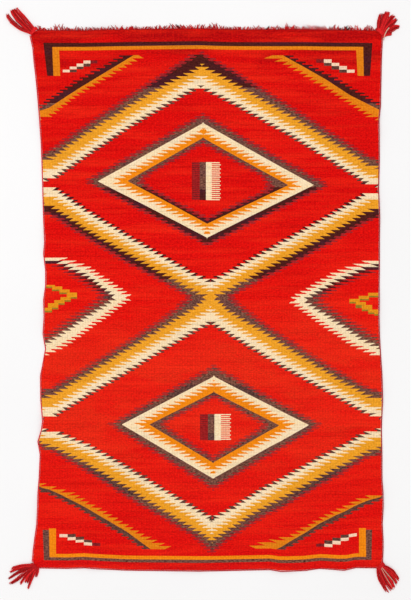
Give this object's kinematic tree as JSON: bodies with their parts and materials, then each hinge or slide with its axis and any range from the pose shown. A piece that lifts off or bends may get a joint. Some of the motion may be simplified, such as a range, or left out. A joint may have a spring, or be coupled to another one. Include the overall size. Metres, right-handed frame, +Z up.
{
  "type": "navajo blanket",
  "caption": "Flat hand-woven wool blanket with large stepped diamonds, plied edge cords, a frayed end and yarn tassels at the corners.",
  "frame": {"origin": "centre of the cloth's underside, on the surface that the blanket lies on", "axes": "+Y along the warps towards the worn top end, +X across the blanket, +Z up out of its face"},
  "size_m": [1.3883, 2.0609, 0.0108],
  "materials": {
    "woven_wool": "weft-faced wool tapestry weave",
    "plied_cord_wool": "plied wool cord",
    "frayed_wool": "frayed wool yarn ends",
    "tassel_yarn": "loose wool yarn"
  },
  "bodies": {
    "root": {"woven_cloth": "woven_wool", "left_selvage_cord": "plied_cord_wool", "right_selvage_cord": "plied_cord_wool", "bottom_end_cord": "plied_cord_wool", "worn_end_fringe": "frayed_wool", "tassel_top_left": "tassel_yarn", "tassel_top_right": "tassel_yarn", "tassel_bottom_left": "tassel_yarn", "tassel_bottom_right": "tassel_yarn"}
  },
  "joints": []
}
